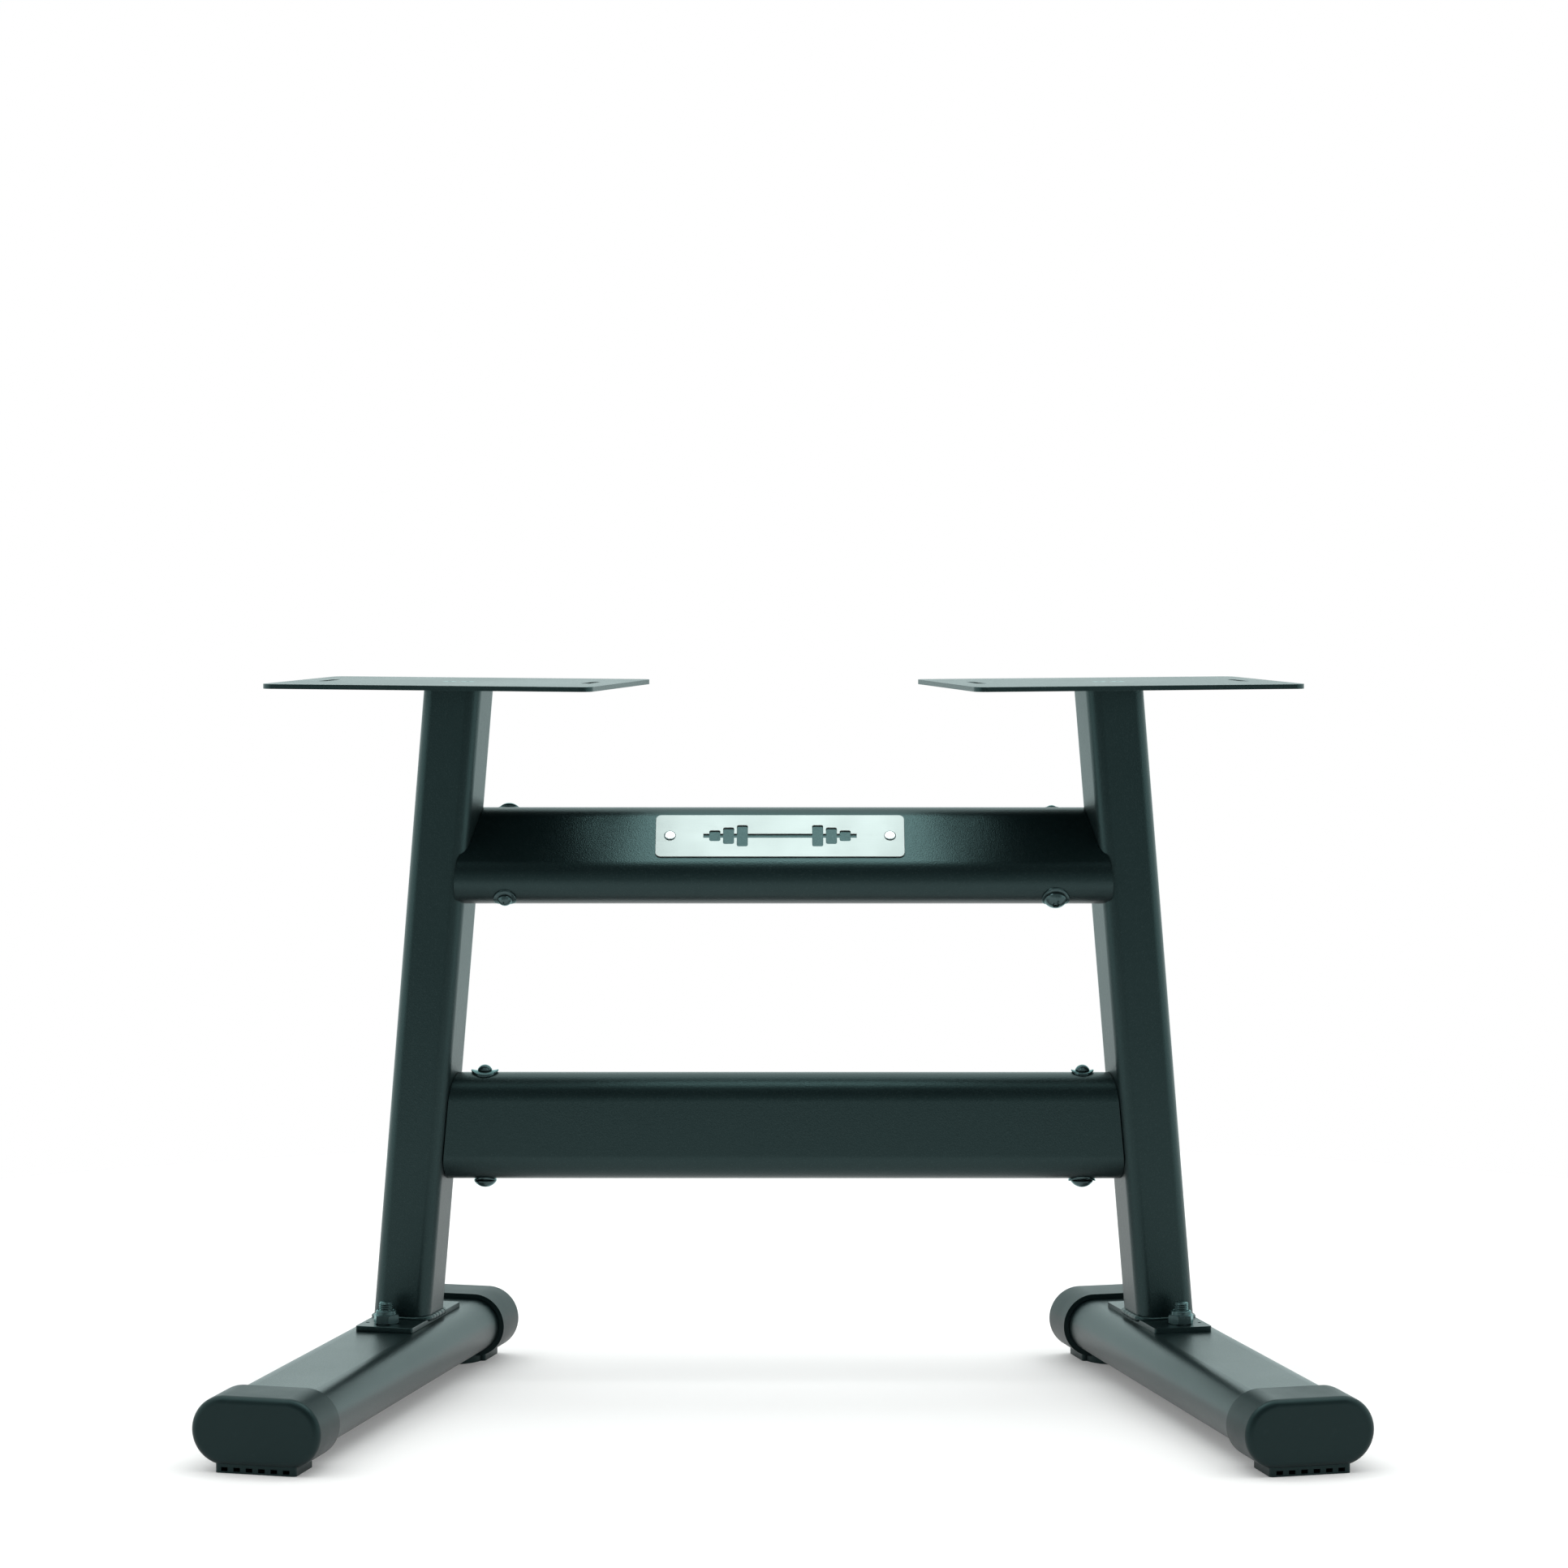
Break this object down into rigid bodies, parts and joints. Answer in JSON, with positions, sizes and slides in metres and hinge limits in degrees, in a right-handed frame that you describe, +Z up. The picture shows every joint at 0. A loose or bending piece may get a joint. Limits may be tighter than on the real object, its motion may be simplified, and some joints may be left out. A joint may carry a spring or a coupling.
{
  "type": "dumbbell stand",
  "caption": "Free-standing black steel stand with splayed feet, leaning uprights, bolted flat-oval crossbeams and a pair of flat slotted tray plates for adjustable dumbbells.",
  "frame": {"origin": "on the floor, under the middle of the stand's bounding box", "axes": "+Z up, -Y towards the front, +X to the viewer's right; the tubes, caps and trays mirror each other about X = 0"},
  "size_m": [0.9098, 0.5138, 0.596],
  "materials": {
    "coat": "fine matte powder coat, green-black",
    "cap_rubber": "satin moulded rubber",
    "black_zinc": "glossy black zinc plate",
    "brushed_steel": "brushed along its length",
    "rivet_aluminium": "bright, smooth"
  },
  "bodies": {
    "root": {"left_foot_tube": "coat", "right_foot_tube": "coat", "left_base_plate": "coat", "right_base_plate": "coat", "left_upright": "coat", "right_upright": "coat", "left_upright_end_plate": "coat", "right_upright_end_plate": "coat", "left_tray_plate": "coat", "right_tray_plate": "coat", "lower_crossbeam": "coat", "upper_crossbeam": "coat", "lower_left_beam_bracket": "coat", "lower_right_beam_bracket": "coat", "upper_left_beam_bracket": "coat", "upper_right_beam_bracket": "coat", "front_left_foot_cap": "cap_rubber", "front_right_foot_cap": "cap_rubber", "rear_left_foot_cap": "cap_rubber", "rear_right_foot_cap": "cap_rubber", "foot_cap_screws": "black_zinc", "foot_bolts": "black_zinc", "foot_bolt_washers": "black_zinc", "foot_nuts": "black_zinc", "tray_screws": "black_zinc", "lower_beam_bolts": "black_zinc", "lower_beam_cap_nuts": "black_zinc", "lower_beam_saddle_washers": "black_zinc", "upper_beam_bolts": "black_zinc", "upper_beam_cap_nuts": "black_zinc", "upper_beam_saddle_washers": "black_zinc", "name_plate": "brushed_steel", "name_plate_rivets": "rivet_aluminium"}
  },
  "joints": []
}
